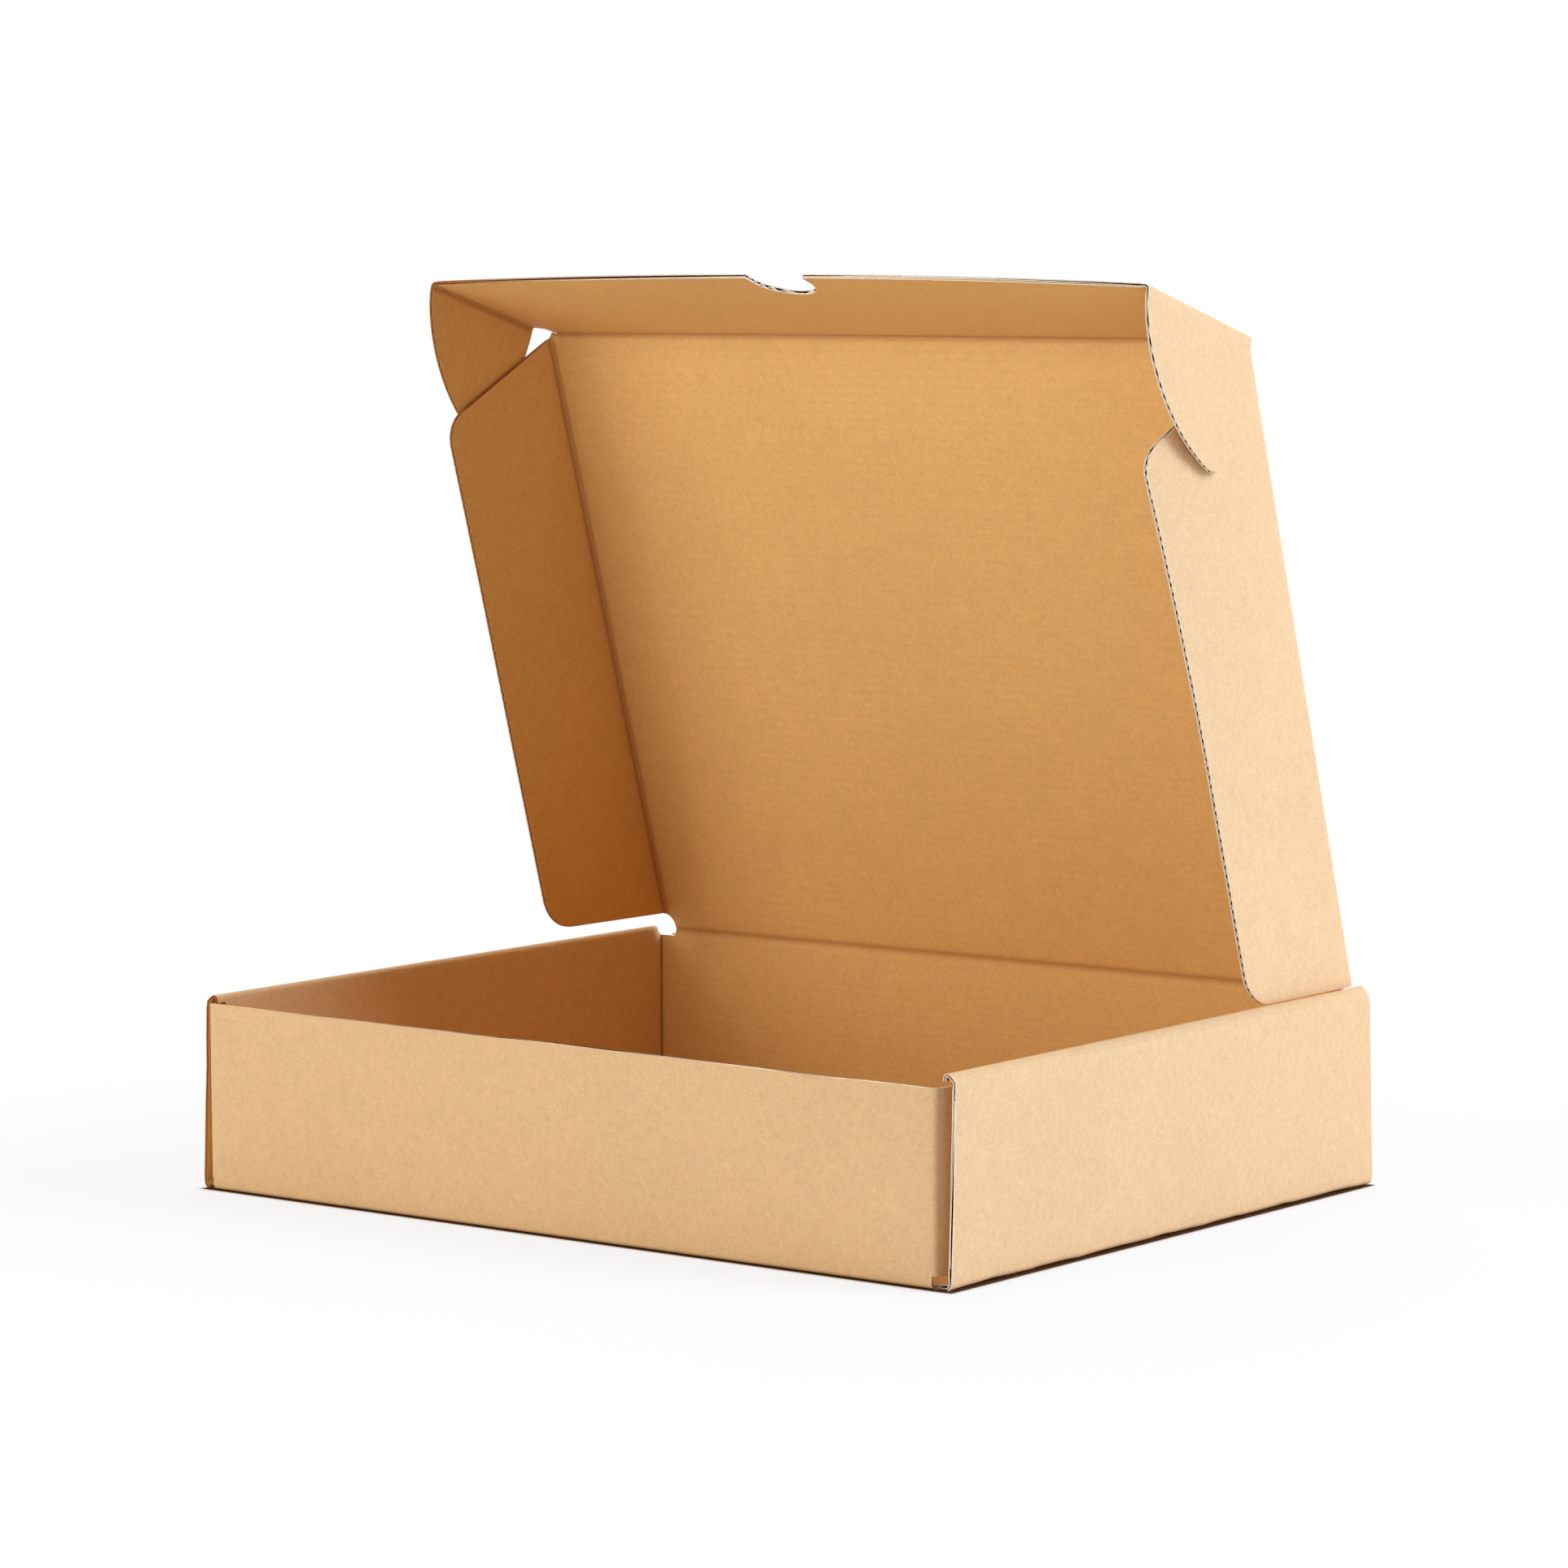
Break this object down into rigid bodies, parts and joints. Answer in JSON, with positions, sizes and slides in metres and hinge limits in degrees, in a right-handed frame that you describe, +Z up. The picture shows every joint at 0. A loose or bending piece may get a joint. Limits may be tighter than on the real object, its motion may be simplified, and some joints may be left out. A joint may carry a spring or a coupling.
{
  "type": "pizza box",
  "caption": "Folded corrugated-board box with rolled side walls, a hinged lid with side wings, and a tuck flap with ears and a thumb notch.",
  "frame": {"origin": "centre of the tray's underside", "axes": "+X to the right of someone in front of the box, the front wall faces -Y, +Z up"},
  "size_m": [0.33, 0.253, 0.3188],
  "materials": {
    "kraft_board": "matte brown kraft paper"
  },
  "bodies": {
    "base": {"base_tray": "kraft_board"},
    "lid": {"lid": "kraft_board"},
    "tuck_flap": {"tuck_flap": "kraft_board"}
  },
  "joints": [
    {"name": "lid_hinge", "type": "hinge", "parent": "base", "child": "lid", "pos_m": [0, 0.1257, 0.0686], "axis": [-1, 0, 0], "range_deg": [-73.5, 100]},
    {"name": "tuck_hinge", "type": "hinge", "parent": "lid", "child": "tuck_flap", "pos_m": [0, 0.05697, 0.30063], "axis": [-1, 0, 0], "range_deg": [-42.7, 58.1]}
  ],
  "couplings": [
    {"joint": "tuck_hinge", "follows": "lid_hinge", "ratio": 0.58}
  ]
}
